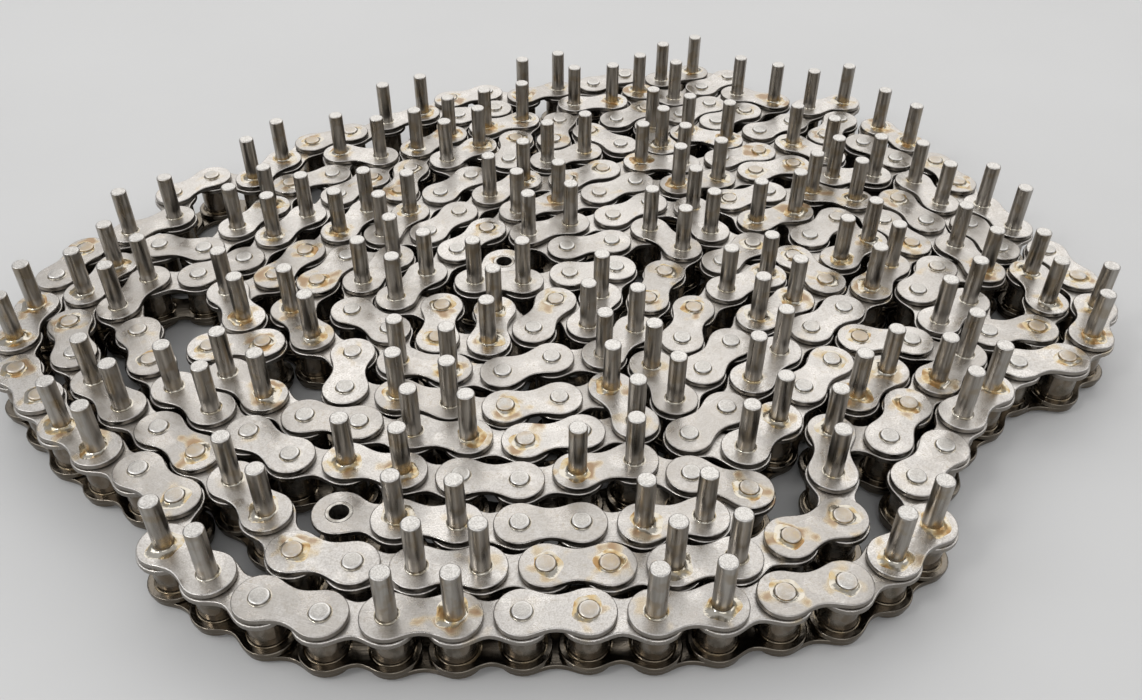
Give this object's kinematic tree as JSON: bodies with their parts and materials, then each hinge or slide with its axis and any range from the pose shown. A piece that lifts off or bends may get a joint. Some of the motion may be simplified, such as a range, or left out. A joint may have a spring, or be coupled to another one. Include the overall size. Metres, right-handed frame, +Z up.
{
  "type": "roller chain",
  "caption": "Steel roller chain with extended pins on every fourth link, lying flat in an irregular wound coil with both ends free.",
  "frame": {"origin": "on the ground under the middle of the coil's outline", "axes": "+X to the right along the coil's longest side, +Y away from the front row, +Z up along the pins"},
  "size_m": [0.3534, 0.3002, 0.0341],
  "materials": {
    "plate": "satin nickel-plated, oily",
    "pin": "ground, slightly oily",
    "bush": "satin",
    "roller": "polished, oily"
  },
  "bodies": {
    "coil": {"run_01": "plate", "run_02": "plate", "run_03": "plate", "run_04": "plate", "run_05": "plate", "run_06": "plate", "run_07": "plate", "run_08": "plate", "run_09": "plate", "run_10": "plate", "run_11": "plate", "run_12": "plate", "run_13": "plate", "run_14": "plate", "run_15": "plate", "run_16": "plate", "run_17": "plate", "run_18": "plate", "run_19": "plate", "run_20": "plate", "run_21": "plate", "run_22": "plate", "third_inner_link_plate_low": "plate", "third_inner_link_plate_high": "plate", "third_inner_link_bush_a": "bush", "third_inner_link_bush_b": "bush", "fourth_outer_link_plate_low": "plate", "fourth_outer_link_plate_high": "plate", "fourth_outer_link_pin_a": "pin", "fourth_outer_link_pin_b": "pin", "fifth_inner_link_plate_low": "plate", "fifth_inner_link_plate_high": "plate", "fifth_inner_link_bush_a": "bush", "fifth_inner_link_bush_b": "bush"},
    "second_outer_link": {"second_outer_link_plate_low": "plate", "second_outer_link_plate_high": "plate", "second_outer_link_pin_a": "pin", "second_outer_link_pin_b": "pin"},
    "end_inner_link": {"end_inner_link_plate_low": "plate", "end_inner_link_plate_high": "plate", "end_inner_link_bush_a": "bush", "end_inner_link_bush_b": "bush"},
    "last_outer_link": {"last_outer_link_plate_low": "plate", "last_outer_link_plate_high": "plate", "last_outer_link_pin_a": "pin", "last_outer_link_pin_b": "pin"},
    "last_inner_link": {"last_inner_link_plate_low": "plate", "last_inner_link_plate_high": "plate", "last_inner_link_bush_a": "bush", "last_inner_link_bush_b": "bush"},
    "end_inner_link_roller_a": {"end_inner_link_roller_a": "roller"},
    "end_inner_link_roller_b": {"end_inner_link_roller_b": "roller"},
    "third_inner_link_roller_a": {"third_inner_link_roller_a": "roller"},
    "third_inner_link_roller_b": {"third_inner_link_roller_b": "roller"},
    "fifth_inner_link_roller_a": {"fifth_inner_link_roller_a": "roller"},
    "fifth_inner_link_roller_b": {"fifth_inner_link_roller_b": "roller"},
    "last_inner_link_roller_a": {"last_inner_link_roller_a": "roller"},
    "last_inner_link_roller_b": {"last_inner_link_roller_b": "roller"}
  },
  "joints": [
    {"name": "second_link_hinge", "type": "hinge", "parent": "coil", "child": "second_outer_link", "pos_m": [-0.02757, -0.11428, 0], "axis": [0, 0, 1], "range_deg": [-1, 1]},
    {"name": "end_link_hinge", "type": "hinge", "parent": "second_outer_link", "child": "end_inner_link", "pos_m": [-0.0434, -0.11304, 0], "axis": [0, 0, 1], "range_deg": [-5, 5]},
    {"name": "last_outer_link_hinge", "type": "hinge", "parent": "coil", "child": "last_outer_link", "pos_m": [-0.01487, -0.01096, 0], "axis": [0, 0, 1], "range_deg": [-3, 2]},
    {"name": "last_link_hinge", "type": "hinge", "parent": "last_outer_link", "child": "last_inner_link", "pos_m": [-0.03075, -0.01098, 0], "axis": [0, 0, 1], "range_deg": [-0.3, 5]},
    {"name": "end_inner_link_roller_spin_a", "type": "hinge", "parent": "end_inner_link", "child": "end_inner_link_roller_a", "pos_m": [-0.05891, -0.10967, 0], "axis": [0, 0, 1], "continuous": true},
    {"name": "end_inner_link_roller_spin_b", "type": "hinge", "parent": "end_inner_link", "child": "end_inner_link_roller_b", "pos_m": [-0.0434, -0.11304, 0], "axis": [0, 0, 1], "continuous": true},
    {"name": "third_inner_link_roller_spin_a", "type": "hinge", "parent": "coil", "child": "third_inner_link_roller_a", "pos_m": [-0.02757, -0.11428, 0], "axis": [0, 0, 1], "continuous": true},
    {"name": "third_inner_link_roller_spin_b", "type": "hinge", "parent": "coil", "child": "third_inner_link_roller_b", "pos_m": [-0.0117, -0.11429, 0], "axis": [0, 0, 1], "continuous": true},
    {"name": "fifth_inner_link_roller_spin_a", "type": "hinge", "parent": "coil", "child": "fifth_inner_link_roller_a", "pos_m": [0.00417, -0.11379, 0], "axis": [0, 0, 1], "continuous": true},
    {"name": "fifth_inner_link_roller_spin_b", "type": "hinge", "parent": "coil", "child": "fifth_inner_link_roller_b", "pos_m": [0.02005, -0.11376, 0], "axis": [0, 0, 1], "continuous": true},
    {"name": "last_inner_link_roller_spin_a", "type": "hinge", "parent": "last_inner_link", "child": "last_inner_link_roller_a", "pos_m": [-0.03075, -0.01098, 0], "axis": [0, 0, 1], "continuous": true},
    {"name": "last_inner_link_roller_spin_b", "type": "hinge", "parent": "last_inner_link", "child": "last_inner_link_roller_b", "pos_m": [-0.02193, 0.00222, 0], "axis": [0, 0, 1], "continuous": true}
  ]
}
